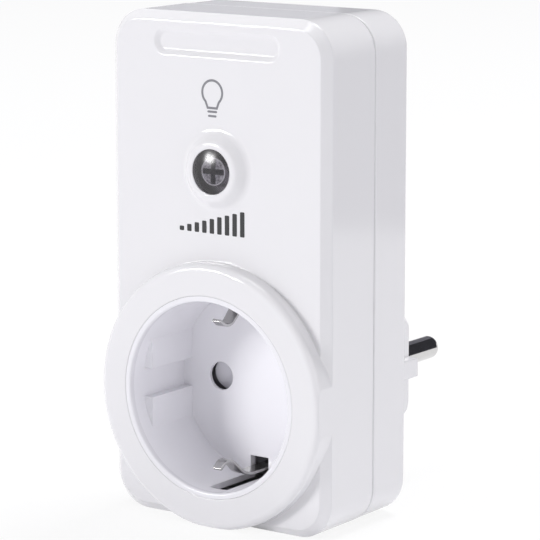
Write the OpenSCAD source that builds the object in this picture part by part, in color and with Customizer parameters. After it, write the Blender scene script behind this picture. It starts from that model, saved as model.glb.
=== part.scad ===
// Plug-in lamp dimmer: a wall-plug housing with a round safety socket and a push button on its front.
// Millimetres. The origin is midway between the plug pins on the plug's end face.
// +Y runs along the pins, the socket faces -Y and +Z is up.

/* [Housing] */
// Width of the front shell
body_w = 52; // [50:0.5:58]
// Height of the housing's top above the socket axis
top_z = 74.5; // [73:0.5:85]
// Depth of the housing from its front face to its rear face
body_d = 27.7; // [27:0.1:32]
// Depth of the front shell, from the front face to the seam
front_d = 16; // [14.5:0.1:17]
// Wall thickness of both shells
wall = 2; // [1.6:0.1:2.3]
// Corner radius of the housing in front view
corner_r = 7.5; // [7:0.1:9]
// Leg of the bevel along the front edge
front_bevel = 1.7; // [0.8:0.1:1.8]
// Rounding of the rear edge
rear_edge_r = 0.8; // [0.4:0.1:1.5]
// Step by which the rear shell lies inside the front shell's outline
rear_inset = 0.1; // [0.1:0.05:0.4]
// Width of the shadow line at the seam
seam_gap = 0.4; // [0.1:0.05:0.5]
// Rounding of both shells' edges at the seam
seam_edge_r = 0.35; // [0.1:0.05:0.5]

/* [Socket] */
// Height of the round collar above the front face
collar_h = 3.4; // [2.5:0.1:4.5]
// Rounding of the collar's front edge
collar_edge_r = 1.4; // [0.5:0.1:1.5]
// Radius of the socket well
well_r = 19; // [19:0.05:19.6]
// Depth of the socket well
well_d = 17.5; // [17:0.1:18]
// Thickness of the cup's wall at the lip
lip_t = 1.1; // [0.7:0.05:1.1]
// Thickness of the well's floor
floor_t = 1.6; // [1.2:0.1:1.8]
// Distance between pin centres, in the socket and on the plug
pin_pitch = 19; // [18.8:0.05:19.2]
// Radius of the socket's pin holes
pin_hole_r = 2.85; // [2.7:0.05:2.95]
// Thickness of the lip around each pin hole
pin_lip = 0.75; // [0.6:0.05:0.9]
// Distance from the socket axis to the guide ribs' inner faces
rib_x = 16.75; // [16.4:0.05:17.2]
// Half the width of the groove between two guide ribs
groove_half = 2.9; // [2.6:0.05:3.2]
// Distance from the collar's front to the ribs' ends
rib_start = 4.25; // [3.5:0.05:5]
// Width of the slots for the earth contacts
slot_w = 4.4; // [4.4:0.1:5.2]

/* [Earth contacts] */
// Thickness of the contact strips
strip_t = 0.6; // [0.5:0.05:0.7]
// Width of an earth arm at its root
arm_w = 3.7; // [3.4:0.1:4.2]
// Width of an earth arm at its tip
arm_tip_w = 2; // [1.6:0.1:2.6]
// Distance from the socket axis to the straight part of an earth arm
arm_z = 17.6; // [17.4:0.1:17.8]
// Distance from the socket axis to the arms' knees
knee_z = 13.4; // [13:0.1:14.5]

/* [Shutter] */
// Distance from the shutter's pivot to the far edge of its pads
shutter_r = 12.6; // [12.4:0.1:13]
// Thickness of the shutter
shutter_t = 2.8; // [2.4:0.1:3]
// Width of the arms between the shutter's hub and its pads
shutter_arm_w = 3.6; // [3:0.1:4.4]
// Radius of the pivot that the shutter turns on
pivot_r = 2; // [1.5:0.1:2.2]

/* [Plug] */
// Height of the plug base behind the rear face
plug_h = 16.5; // [15:0.5:18]
// Radius of the plug base
plug_r = 18.5; // [18.3:0.1:18.6]
// Half width of the plug base across its side flats
plug_flat_x = 16; // [15.8:0.1:16.4]
// Half width of the plug base across its guide ribs
plug_rib_x = 18.2; // [17.8:0.1:18.6]
// Half height of a guide rib on the plug base
plug_rib_half = 1.9; // [1.8:0.1:2.4]
// Radius of a plug pin
pin_r = 2.4; // [2.3:0.05:2.45]
// Length of a plug pin beyond the plug's end face
pin_len = 19; // [18.5:0.1:19.5]

/* [Button] */
// Height of the button's centre above the socket axis
button_z = 44.3; // [42:0.1:47]
// Radius of the button cap
cap_r = 4.33; // [3.8:0.01:4.6]
// Radius of the boss at the front face
boss_r = 7.6; // [7.2:0.1:8.5]
// Radius of the boss's flat top
boss_top_r = 5.6; // [5.4:0.1:6]
// Height of the boss above the front face
boss_h = 1.9; // [1.4:0.1:2.2]
// Rounding at the foot of the boss
boss_foot_r = 1.6; // [0.6:0.1:2]
// Rounding of the boss's top edge
boss_edge_r = 1.2; // [0.4:0.1:1.4]
// Height of the cap's dome above the boss
dome_h = 0.9; // [0.6:0.1:1.2]
// Travel of the button
button_travel = 0.5; // [0.3:0.05:0.6]

/* [Label recess] */
// Width of the recess at the front face
label_w = 30; // [24:0.5:34]
// Height of the recess at the front face
label_h = 5.2; // [4.4:0.1:5.6]
// Distance from the housing's top down to the recess's centre
label_drop = 5.8; // [5:0.1:9]
// Depth of the recess
label_d = 0.7; // [0.4:0.05:0.9]
// Width of the recess's sloping border
label_slope = 1; // [0.6:0.1:1.4]
// Rounding of the recess's edges
label_edge_r = 0.5; // [0.2:0.05:0.6]

/* [Electronics] */
// Thickness of the circuit board
board_t = 1.6; // [1:0.1:1.8]
// Height of the board's lower edge above the socket axis
board_z = 27.5; // [27:0.1:28]
// Distance from the front wall's inner face to the board's front
board_gap = 9.2; // [8.8:0.1:9.6]

/* [Hidden] */
$fn = 96;

// Clearances
slip = 0.1;
run_gap = 0.05;
face_gap = 0.3;
over = 1;

// Planes along Y
rear_y = -plug_h;
front_y = rear_y - body_d;
seam_y = front_y + front_d;
collar_y = front_y - collar_h;
front_in_y = front_y + wall;
rear_in_y = rear_y - wall;
well_y = collar_y + well_d;
cup_back_y = well_y + floor_t;
shutter_y = cup_back_y + face_gap;
shutter_back_y = shutter_y + shutter_t;
carrier_y = shutter_back_y + face_gap;
carrier_t = 2;
carrier_back_y = carrier_y + carrier_t;

// Housing outline
half_w = body_w / 2;
bottom_z = -half_w;
collar_over = 0.43;
collar_r = half_w + collar_over;
tongue_t = 1;
tongue_h = 1.5;
tongue_root = 0.6;
plug_edge_r = 1;

// Socket cup
cup_r = well_r + lip_t;
collar_bore_r = cup_r + run_gap;
cup_wall_t = 0.9;
cup_wall_r = cup_r + cup_wall_t;
flange_w = 1.6;
flange_r = cup_wall_r + flange_w;
flange_t = 1.5;
pin_x = pin_pitch / 2;
slot_start = 0.2;
slot_front_y = front_y + slot_start;
slot_depth = 2.3;
slot_inner_z = arm_z - slot_depth;
slot_bite = 1;
slot_skin = 1.1;
slot_relief = 1.4;
hole_chamfer = 0.1;
pilot_floor = 0.2;

// Case screws
screw_corner = 1.5;
screw_inset = corner_r - screw_corner;
screw_x = half_w - screw_inset;
screw_top_z = top_z - screw_inset;
screw_low_z = bottom_z + screw_inset;
screw_spots = [for (x = [-screw_x, screw_x], z = [screw_top_z, screw_low_z]) [x, z]];
screw_r = 1.45;
screw_head_r = 2.7;
screw_head_h = 2;
screw_sink = 5.5;
screw_seat_y = rear_y - screw_sink;
screw_len = 15;
screw_cross = [3.2, 0.8, 1.2];
head_room = 0.4;
case_boss_r = 3.2;
boss_wall = 1.3;
rear_boss_r = screw_head_r + boss_wall;
spigot_r = 2.4;
boss_split_y = seam_y - tongue_h - slip;

// Shutter pads, and the slope on each that an entering pin pushes on
pad_r = shutter_r - pin_x;
ramp_angle = 8;
ramp_depth = 0.4;
ramp_half = pad_r + slip;

// Shutter return spring: a small torsion coil round the pivot
spring_r = pivot_r + 1;
spring_wire = 0.35;
spring_turns = 2;
spring_pitch = 0.8;
spring_h = spring_turns * spring_pitch + spring_wire;
spring_room = 0.8;
hub_wall = 1;
hub_r = spring_r + spring_room + hub_wall;

// Contact carrier and its screws
carrier_inset = 2.5;
carrier_r = cup_wall_r - carrier_inset;
carrier_screw_at = 16;
carrier_screw_angles = [210, 330];
carrier_screw_r = 1;
carrier_head_r = 1.9;
carrier_head_h = 1.2;
carrier_cross = [2.2, 0.5, 0.7];
carrier_boss_r = 2.4;
carrier_notch = 1;
contact_play = 0.25;
contact_hole_r = pin_hole_r + contact_play;

// Contact clips
clip_t = 0.8;
leaf_t = 0.7;
leaf_grip = 0.2;
leaf_gap = pin_r - leaf_grip;
leaf_w = 5;
leaf_len = 10.5;
leaf_root = 3;
leaf_mouth = 2.5;
leaf_end_y = carrier_back_y + leaf_len;
clip_half = leaf_gap + leaf_t;
clip_border = 1.2;
clip_ring = 1;

// Plug
plug_wall = 2;
plug_end_t = 3;
pin_tip_r = 1.6;
pin_seat_over = 0.2;
pin_seat_r = pin_r + pin_seat_over;
pin_seat_out = 0.3;
pin_flange_r = 3.5;
pin_flange_t = 1;
rivet_r = 1.5;
rivet_len = 1.8;
bus_t = 0.8;
bus_w = 4;
bus_y = -plug_end_t - pin_flange_t - bus_t;
bus_side = 1;
bus_x = pin_x + leaf_w / 2 + bus_side;
bus_toe = 0.2;
bus_run_y = rear_in_y - bus_toe - bus_t;
tail_rise = 2.5;
tail_z = board_z + tail_rise;
arm_rise = 5.3;
arm_taper = 2;
knee_in = 2.4;
knee_half = 1;
knee_drop = 0.35;
tip_out = 0.2;
tip_rise = 1.55;
earth_strip_w = 8;
earth_strip_t = 0.7;
earth_strip_z = arm_z - earth_strip_t / 2;
earth_strip_end = 0.8;

// Button and switch
cap_hole_r = cap_r + slip;
cap_rest_gap = run_gap;
cap_flange_t = 0.8;
cap_flange_w = 1;
cap_flange_r = cap_r + cap_flange_w;
cap_flange_y = front_in_y + cap_rest_gap;
cap_back_y = cap_flange_y + cap_flange_t;
boss_y = front_y - boss_h;
cavity_r = 2.5;
cap_skin = 1.7;
cross_w = 1;
guide_y = cap_back_y + button_travel + face_gap;
guide_t = 1.5;
guide_rim = 1;
guide_r = cap_flange_r + guide_rim;
tower_t = 1.4;
board_y = front_in_y + board_gap;
board_back_y = board_y + board_t;
switch_h = 3.5;
switch_w = 6;
switch_y = board_y - switch_h;
plunger_r = 1.7;
plunger_out = 1.7;
plunger_y = switch_y - plunger_out;
plunger_in = 1.2;

// Circuit board and its pieces
board_side = 1.5;
board_half = half_w - wall - board_side;
board_top_z = screw_top_z - case_boss_r - face_gap;
board_screw_in = 3;
board_screw_up = 3.5;
board_screw_x = board_half - board_screw_in;
board_screw_zs = [board_z + board_screw_up, board_top_z - board_screw_up];
board_screw_r = 1.1;
board_screw_len = 6;
board_head_r = 2;
board_head_h = 1.4;
board_cross = [2.4, 0.6, 0.8];
board_boss_r = 2.8;
rear_room = rear_in_y - board_back_y;
triac_in = 11.5;
triac_up = 6.5;
triac_x = triac_in - board_half;
triac_z = board_z + triac_up;
triac_w = 10;
triac_body_h = 9;
triac_body_t = 4.5;
tab_t = 1.3;
tab_h = 6.5;
tab_hole_r = 1.8;
tab_hole_up = 3.4;
tab_hole_z = triac_z + triac_body_h + tab_hole_up;
triac_leg_len = 2;
triac_leg_t = 0.8;
triac_leg_pitch = 2.54;
triac_screw_r = 1.5;
triac_head_r = 2.7;
triac_head_h = 2;
nut_r = 3.1;
nut_h = 2;
sink_y = board_back_y + triac_body_t;
sink_t = 1.5;
sink_half = 9.5;
sink_right_x = triac_x + sink_half;
sink_drop = 1;
sink_low_z = triac_z - sink_drop;
sink_fin_d = 4;
choke_up = 26;
choke_x = (sink_right_x + board_half) / 2;
choke_z = board_z + choke_up;
choke_in_r = 4.3;
choke_out_r = 7.6;
choke_h = 7;
wind_t = 0.9;
wind_gap = 2.4;
film_gap = 2.5;
film_edge = 3.5;
film_up = 5.8;
film_h = 8.6;
film_room = 1.7;
film_low_x = sink_right_x + film_gap;
film_high_x = board_half - film_edge;
film_z = board_z + film_up;
can_in = 13;
can_drop = 4.6;
can_x = can_in - board_half;
can_z = board_top_z - can_drop;
can_r = 4;
can_room = 2.4;
can_h = rear_room - can_room;
can_edge_r = 0.6;
sink_h = can_z - can_r - face_gap - sink_low_z;
varistor_in = 10.5;
varistor_up = 26;
varistor_x = board_half - varistor_in;
varistor_z = board_z + varistor_up;
varistor_r = 5;
varistor_t = 4;
varistor_edge_r = 1;
fuse_up = 5.5;
fuse_z = board_z + fuse_up;
fuse_r = 2.6;
fuse_len = 20;
fuse_cap_len = 5;
fuse_cap_t = 0.3;
fuse_lift = 4.2;
fuse_y = board_y - fuse_lift;
fuse_clip_half = 2.2;
fuse_clip_t = 0.5;
fuse_clip_foot = 3;
fuse_clip_mouth = 1.2;
chip_in = 10.5;
chip_up = 24;
chip_x = chip_in - board_half;
chip_z = board_z + chip_up;
chip_size = [5, 1.5, 6];
chip_lift = 0.1;
chip_leg = [1.2, 0.9, 0.4];
chip_leg_out = 0.4;
chip_leg_pitch = 1.27;
resistor_x = -1;
resistor_r = 1.2;
resistor_len = 6.5;
resistor_up = 29;
resistor_step = 3;
resistor_zs = [for (i = [0 : 2]) board_z + resistor_up + i * resistor_step];
light_size = [2, 0.9, 1.4];
light_gap = 1.5;
light_z = button_z + switch_w / 2 + light_gap;

// Box between two corners
module block(low, high) {
    translate(low) cube(high - low);
}

// Round bar along Y
module rod(r, y0, y1, x = 0, z = 0) {
    translate([x, y0, z]) rotate([-90, 0, 0]) cylinder(r = r, h = y1 - y0);
}

// Turns an outline in (radius, y) about the Y axis
module turned(x = 0, z = 0) {
    translate([x, 0, z]) rotate([-90, 0, 0]) rotate_extrude() children();
}

// Extrudes an outline in (x, z) from y0 to y1
module slab_y(y0, y1) {
    translate([0, y1, 0]) rotate([90, 0, 0]) linear_extrude(y1 - y0) children();
}

// Extrudes an outline in (y, z) along X, centred at x
module slab_x(width, x = 0) {
    translate([x - width / 2, 0, 0]) rotate([90, 0, 90]) linear_extrude(width) children();
}

// Half of an edge-rounded section in (distance, y): e0 rounds the y0 side and e1 the y1 side
module half_section(half, y0, y1, e0, e1) {
    translate([0, y0 + e0]) square([half, y1 - e1 - y0 - e0]);
    translate([0, y0]) square([half - max(e0, e1), y1 - y0]);
    if (e0 > 0) {
        translate([0, y0]) square([half - e0, e0 + (y1 - y0) / 2]);
        translate([half - e0, y0 + e0]) circle(r = e0);
    }
    if (e1 > 0) {
        translate([0, (y0 + y1) / 2]) square([half - e1, (y1 - y0) / 2]);
        translate([half - e1, y1 - e1]) circle(r = e1);
    }
}

// Half of a section in (distance, y): a bevel cuts the y0 side at 45 degrees and e1 rounds the y1 side
module bevel_section(half, y0, y1, bevel, e1) {
    mid_y = (y0 + y1) / 2;
    polygon([[0, y0], [half - bevel, y0], [half, y0 + bevel], [half, mid_y], [0, mid_y]]);
    half_section(half, y0 + bevel, y1, 0, e1);
}

// One of these two sections: bevelled where bevel is above 0
module edge_section(half, y0, y1, e0, e1, bevel) {
    if (bevel > 0) bevel_section(half, y0, y1, bevel, e1);
    else half_section(half, y0, y1, e0, e1);
}

// Both halves of the same section
module full_section(half, y0, y1, e0, e1, bevel) {
    edge_section(half, y0, y1, e0, e1, bevel);
    mirror([1, 0]) edge_section(half, y0, y1, e0, e1, bevel);
}

// Box with rounded corners in front view and rounded front and rear edges, or a bevelled front edge
module rounded_box(half, z0, z1, y0, y1, corner, e0, e1, bevel = 0) {
    mid_z = (z0 + z1) / 2;
    half_h = (z1 - z0) / 2;
    in_x = half - corner;
    in_z = half_h - corner;
    translate([0, 0, mid_z]) {
        linear_extrude(2 * in_z, center = true) full_section(half, y0, y1, e0, e1, bevel);
        rotate([0, -90, 0]) linear_extrude(2 * in_x, center = true)
            full_section(half_h, y0, y1, e0, e1, bevel);
        for (sx = [-1, 1], sz = [-1, 1])
            translate([sx * in_x, 0, sz * in_z])
                rotate([-90, 0, 0])
                    rotate_extrude() edge_section(corner, y0, y1, e0, e1, bevel);
    }
}

// Half of a raised or sunk step in (distance, y), rounded at its foot and at its edge:
// from y_back to the base plane y0 out to foot, sloping to the plane y1 within head
module step_section(foot, head, y_back, y0, y1, foot_r, edge_r) {
    way = sign(y1 - y0);
    fall = atan2(abs(y1 - y0), foot - head);
    foot_t = foot_r * tan(fall / 2);
    edge_t = edge_r * tan(fall / 2);
    along = [-cos(fall), way * sin(fall)];
    foot_point = [foot, y0] + foot_t * along;
    edge_point = [head, y1] - edge_t * along;
    difference() {
        polygon([[0, y_back], [foot + foot_t, y_back], [foot + foot_t, y0], foot_point, edge_point,
            [head - edge_t, y1], [0, y1]]);
        translate([foot + foot_t, y0 + way * foot_r]) circle(r = foot_r);
    }
    translate([head - edge_t, y1 - way * edge_r]) circle(r = edge_r);
}

// Flat strip bent along points in (y, z): straight runs with round bends, all of one thickness
module bent_outline(points, t) {
    for (i = [0 : len(points) - 2]) {
        a = points[i];
        b = points[i + 1];
        run = b - a;
        translate(a) rotate(atan2(run[1], run[0])) translate([0, -t / 2]) square([norm(run), t]);
    }
    for (i = [1 : len(points) - 2]) translate(points[i]) circle(d = t, $fn = 32);
}

// Front half of the housing with collar, button boss, label recess and screw bosses
module front_shell() {
    color("whitesmoke") difference() {
        union() {
            difference() {
                rounded_box(half_w, bottom_z, top_z, front_y, seam_y, corner_r, 0, seam_edge_r, front_bevel);
                rounded_box(half_w - wall, bottom_z + wall, top_z - wall, front_in_y, seam_y + over,
                    corner_r - wall, 0, 0);
            }
            intersection() {
                turned() half_section(collar_r, collar_y, front_in_y, collar_edge_r, 0);
                block([-half_w, collar_y - over, bottom_z], [half_w, front_in_y, half_w + over]);
            }
            turned(0, button_z)
                step_section(boss_r, boss_top_r, front_in_y, front_y, boss_y, boss_foot_r, boss_edge_r);
            rod(guide_r + tower_t, front_in_y - run_gap, guide_y + guide_t, 0, button_z);
            for (p = screw_spots) rod(case_boss_r, front_in_y - run_gap, boss_split_y, p[0], p[1]);
            for (sx = [-1, 1], z = board_screw_zs)
                rod(board_boss_r, front_in_y - run_gap, board_y, sx * board_screw_x, z);
        }
        rod(collar_bore_r, collar_y - over, front_in_y + over);
        rod(cap_hole_r, boss_y - over, front_in_y + over, 0, button_z);
        rod(guide_r, front_in_y, guide_y + guide_t + over, 0, button_z);
        label_cut();
        for (p = screw_spots) rod(screw_r + run_gap, front_in_y + over, boss_split_y + over, p[0], p[1]);
        for (sx = [-1, 1], z = board_screw_zs)
            rod(board_screw_r + run_gap, front_in_y + over, board_y + over, sx * board_screw_x, z);
    }
}

// Shallow recess with round ends and sloping sides
module label_cut() {
    end_x = (label_w - label_h) / 2;
    translate([0, 0, top_z - label_drop]) {
        rotate([0, -90, 0]) linear_extrude(2 * end_x, center = true) {
            label_section();
            mirror([1, 0]) label_section();
        }
        for (sx = [-1, 1]) turned(sx * end_x, 0) label_section();
    }
}
module label_section() {
    open_half = label_h / 2;
    step_section(open_half, open_half - label_slope, front_y - over, front_y, front_y + label_d,
        label_edge_r, label_edge_r);
}

// Outline of the plug base in (x, z)
module plug_outline(cut = 0) {
    intersection() {
        circle(r = plug_r - cut);
        square([2 * (plug_flat_x - cut), 2 * plug_r], center = true);
    }
}

// Rear half of the housing with the plug base, tongue and screw bosses
module rear_shell() {
    half = half_w - rear_inset;
    low = bottom_z + rear_inset;
    high = top_z - rear_inset;
    in_half = half_w - wall - slip;
    in_low = bottom_z + wall + slip;
    in_high = top_z - wall - slip;
    color("whitesmoke") difference() {
        union() {
            difference() {
                rounded_box(half, low, high, seam_y + seam_gap, rear_y, corner_r - rear_inset, seam_edge_r,
                    rear_edge_r);
                rounded_box(half_w - wall - tongue_t, bottom_z + wall + tongue_t, top_z - wall - tongue_t,
                    seam_y - over, rear_in_y, corner_r - wall - tongue_t, 0, 0);
            }
            difference() {
                rounded_box(in_half + tongue_root, in_low - tongue_root, in_high + tongue_root,
                    seam_y, seam_y + seam_gap + over, corner_r - wall, 0, 0);
                rounded_box(half_w - wall - tongue_t, bottom_z + wall + tongue_t, top_z - wall - tongue_t,
                    seam_y - over, seam_y + seam_gap + 2 * over, corner_r - wall - tongue_t, 0, 0);
            }
            difference() {
                rounded_box(in_half, in_low, in_high, seam_y - tongue_h, seam_y + over,
                    corner_r - wall - slip, 0, 0);
                rounded_box(half_w - wall - tongue_t, bottom_z + wall + tongue_t, top_z - wall - tongue_t,
                    seam_y - 2 * over - tongue_h, seam_y + 2 * over, corner_r - wall - tongue_t, 0, 0);
            }
            intersection() {
                slab_y(rear_in_y, 0) plug_outline();
                turned() half_section(plug_r, rear_in_y - over, 0, 0, plug_edge_r);
            }
            for (sx = [-1, 1])
                block([min(sx * plug_rib_x, 0), rear_in_y, -plug_rib_half],
                    [max(sx * plug_rib_x, 0), 0, plug_rib_half]);
            for (p = screw_spots) {
                rod(rear_boss_r, seam_y, rear_in_y + over, p[0], p[1]);
                rod(spigot_r, boss_split_y, seam_y + over, p[0], p[1]);
            }
        }
        slab_y(rear_in_y - over, -plug_end_t) plug_outline(plug_wall);
        for (sx = [-1, 1]) rod(pin_seat_r + run_gap, -plug_end_t - over, over, sx * pin_x);
        for (sz = [-1, 1]) scale([1, 1, sz]) earth_strip_cut();
        for (p = screw_spots) {
            rod(screw_r + slip, boss_split_y - over, rear_y, p[0], p[1]);
            rod(screw_head_r + head_room, screw_seat_y, rear_y + over, p[0], p[1]);
        }
    }
}

// Groove along the plug base and slot through the rear wall for one earth strip
module earth_strip_cut() {
    half = earth_strip_w / 2 + slip;
    block([-half, rear_y, earth_strip_z - run_gap], [half, over, plug_r + over]);
    block([-half, rear_in_y - over, earth_strip_z - run_gap],
        [half, rear_y + over, earth_strip_z + earth_strip_t + run_gap]);
}

// Four case screws, driven from the rear into the front shell's bosses
module case_screws() {
    color("silver") for (p = screw_spots) difference() {
        union() {
            rod(screw_head_r, screw_seat_y, screw_seat_y + screw_head_h, p[0], p[1]);
            rod(screw_r, screw_seat_y - screw_len, screw_seat_y, p[0], p[1]);
        }
        cross_recess(p[0], screw_seat_y + screw_head_h, p[1], screw_cross);
    }
}

// Cross-shaped driver recess below a screw head's top: span, width and depth
module cross_recess(x, y, z, cross) {
    for (size = [[cross[0], cross[1]], [cross[1], cross[0]]])
        block([x - size[0] / 2, y - cross[2], z - size[1] / 2], [x + size[0] / 2, y + over, z + size[1] / 2]);
}

// Socket well with its lip, flange, guide ribs, pin holes, earth slots, pivot and carrier bosses
module socket_cup() {
    color("whitesmoke") difference() {
        union() {
            difference() {
                union() {
                    turned() cup_section();
                    rod(pivot_r, cup_back_y - run_gap, carrier_y + carrier_t / 2);
                    for (a = carrier_screw_angles)
                        rod(carrier_boss_r, cup_back_y - run_gap, carrier_y,
                            carrier_screw_at * cos(a), carrier_screw_at * sin(a));
                }
                for (sx = [-1, 1]) turned(sx * pin_x) pin_hole_section();
            }
            for (sx = [-1, 1]) guide_ribs(sx);
        }
        for (sz = [-1, 1]) scale([1, 1, sz]) earth_slot();
        for (a = carrier_screw_angles)
            rod(carrier_screw_r + run_gap, cup_back_y + pilot_floor, carrier_y + over,
                carrier_screw_at * cos(a), carrier_screw_at * sin(a));
    }
}

// Section of the cup in (radius, y), with a rounded lip and a flange behind the front wall
module cup_section() {
    difference() {
        union() {
            translate([0, collar_y]) square([cup_r, well_d + floor_t]);
            translate([0, front_in_y]) square([cup_wall_r, cup_back_y - front_in_y]);
            translate([0, front_in_y]) square([flange_r, flange_t]);
        }
        translate([0, collar_y - over]) square([well_r, well_d + over]);
        translate([well_r, collar_y]) difference() {
            translate([-over, -over]) square([lip_t + over, lip_t + over]);
            translate([lip_t, lip_t]) circle(r = lip_t);
        }
    }
}

// Half of a pin hole's section: a chamfered mouth, a short bore in the lip and a flare behind it
module pin_hole_section() {
    mouth = hole_chamfer + over;
    flare = floor_t - pin_lip + over;
    polygon([[0, well_y - over], [pin_hole_r + mouth, well_y - over], [pin_hole_r, well_y + hole_chamfer],
        [pin_hole_r, well_y + pin_lip], [pin_hole_r + flare, cup_back_y + over], [0, cup_back_y + over]]);
}

// Pair of guide ribs on one side of the well, with the groove between them
module guide_ribs(side) {
    intersection() {
        rod(well_r + lip_t / 2, collar_y, well_y + floor_t / 2);
        for (sz = [-1, 1])
            block([side > 0 ? rib_x : -cup_r, collar_y + rib_start, sz > 0 ? groove_half : -cup_r],
                [side > 0 ? cup_r : -rib_x, well_y + floor_t / 2, sz > 0 ? cup_r : -groove_half]);
    }
}

// Slot through the cup's wall and floor for one earth arm, relieved on the outside to a thin edge
module earth_slot() {
    relief_x = slot_w / 2 + slot_relief;
    block([-relief_x, slot_front_y, well_r + slot_skin], [relief_x, cup_back_y + over, cup_wall_r + over]);
    block([-slot_w / 2, slot_front_y, well_r - slot_bite], [slot_w / 2, cup_back_y + over, cup_wall_r + over]);
    block([-slot_w / 2, well_y - over, slot_inner_z], [slot_w / 2, cup_back_y + over, cup_wall_r + over]);
}

// Shutter whose two round pads cover the pin holes at rest, with a spring recess in its back
module shutter() {
    color("gainsboro") difference() {
        union() {
            for (sx = [-1, 1]) rod(pad_r, shutter_y, shutter_back_y, sx * pin_x);
            block([-pin_x, shutter_y, -shutter_arm_w / 2], [pin_x, shutter_back_y, shutter_arm_w / 2]);
            rod(hub_r, shutter_y, shutter_back_y);
        }
        rod(pivot_r + run_gap, shutter_y - over, shutter_back_y + over);
        rod(spring_r + spring_room, shutter_back_y - spring_h - face_gap, shutter_back_y + over);
        for (sx = [-1, 1])
            translate([sx * pin_x, shutter_y + ramp_depth, 0]) rotate([-sx * ramp_angle, 0, 0])
                block([-ramp_half, -shutter_r, -shutter_r], [ramp_half, 0, shutter_r]);
    }
}

// Return spring, swept as rings of points along its coil
function coil_point(t, r, pitch, y0) = [r * cos(360 * t), y0 + pitch * t, r * sin(360 * t)];
function coil_ring(t, r, pitch, y0, wire, sides) = let (c = coil_point(t, r, pitch, y0))
    [for (k = [0 : sides - 1]) let (a = 360 * k / sides)
        c + wire / 2 * cos(a) * [cos(360 * t), 0, sin(360 * t)] + [0, wire / 2 * sin(a), 0]];
module shutter_spring() {
    sides = 6;
    rings = 24 * spring_turns;
    y0 = shutter_back_y - spring_h + spring_wire / 2;
    points = [for (i = [0 : rings]) each
        coil_ring(i * spring_turns / rings, spring_r, spring_pitch, y0, spring_wire, sides)];
    sidewalls = [for (i = [0 : rings - 1], k = [0 : sides - 1])
        let (n = (k + 1) % sides, a = i * sides)
        each [[a + k, a + sides + k, a + n], [a + n, a + sides + k, a + sides + n]]];
    end_a = [for (k = [1 : sides - 2]) [0, k, k + 1]];
    last = rings * sides;
    end_b = [for (k = [1 : sides - 2]) [last, last + k + 1, last + k]];
    color("silver") polyhedron(points, concat(sidewalls, end_a, end_b));
}

// Plate behind the shutter that carries the contacts
module contact_carrier() {
    color("ivory") difference() {
        rod(carrier_r, carrier_y, carrier_back_y);
        rod(pivot_r + run_gap, carrier_y - over, carrier_y + carrier_t / 2 + run_gap);
        for (sx = [-1, 1]) rod(contact_hole_r, carrier_y - over, carrier_back_y + over, sx * pin_x);
        for (sz = [-1, 1]) scale([1, 1, sz])
            block([-slot_w / 2, carrier_y - over, arm_z - carrier_notch],
                [slot_w / 2, carrier_back_y + over, carrier_r + over]);
        for (a = carrier_screw_angles)
            rod(carrier_screw_r + slip, carrier_y - over, carrier_back_y + over,
                carrier_screw_at * cos(a), carrier_screw_at * sin(a));
    }
}

// Two screws that hold the carrier to the cup
module carrier_screws() {
    color("silver") for (a = carrier_screw_angles) {
        x = carrier_screw_at * cos(a);
        z = carrier_screw_at * sin(a);
        difference() {
            union() {
                rod(carrier_head_r, carrier_back_y, carrier_back_y + carrier_head_h, x, z);
                rod(carrier_screw_r, cup_back_y + 2 * pilot_floor, carrier_back_y, x, z);
            }
            cross_recess(x, carrier_back_y + carrier_head_h, z, carrier_cross);
        }
    }
}

// Spring contact for one pin: a holed base plate, two leaves and a tail up to the circuit board
module contact_clip(side) {
    x = side * pin_x;
    half = leaf_w / 2;
    plate_half = contact_hole_r + clip_ring;
    plate_z = clip_half + clip_border;
    difference() {
        union() {
            block([x - plate_half, carrier_back_y, -plate_z],
                [x + plate_half, carrier_back_y + clip_t, plate_z]);
            block([x - half, carrier_back_y, clip_half], [x + half, carrier_back_y + clip_t, tail_z + bus_t]);
        }
        rod(contact_hole_r, carrier_back_y - over, carrier_back_y + clip_t + over, x);
    }
    for (sz = [-1, 1]) scale([1, 1, sz])
        slab_x(leaf_w, x) bent_outline([[carrier_back_y + clip_t / 2, contact_hole_r + leaf_t / 2],
            [carrier_back_y + leaf_root, contact_hole_r + leaf_t / 2],
            [leaf_end_y - leaf_mouth, leaf_gap + leaf_t / 2],
            [leaf_end_y, contact_hole_r + leaf_t / 2]], leaf_t);
    block([x - half, board_back_y, tail_z], [x + half, carrier_back_y + clip_t, tail_z + bus_t]);
}
module line_contact() {
    color("goldenrod") contact_clip(1);
}
module neutral_contact() {
    color("goldenrod") contact_clip(-1);
}

// One sprung strip: a cross bar behind the carrier and two arms whose knees reach into the well
module earth_bow() {
    bar_y = carrier_back_y + strip_t / 2;
    knee_y = front_y + knee_in;
    tip_y = front_y - tip_out;
    taper_y = well_y - arm_taper;
    arm = [[bar_y, 0], [bar_y, arm_z], [knee_y + arm_rise, arm_z], [knee_y + knee_half, knee_z + knee_drop],
        [knee_y, knee_z], [knee_y - knee_half, knee_z + knee_drop], [tip_y, knee_z + tip_rise]];
    plan = [[arm_w / 2, bar_y + over], [arm_w / 2, taper_y], [arm_tip_w / 2, tip_y - over],
        [-arm_tip_w / 2, tip_y - over], [-arm_w / 2, taper_y], [-arm_w / 2, bar_y + over]];
    color("silver") for (sz = [-1, 1]) scale([1, 1, sz])
        intersection() {
            slab_x(arm_w) bent_outline(arm, strip_t);
            translate([0, 0, -over]) linear_extrude(arm_z + 3 * over) polygon(plan);
        }
}

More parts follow.
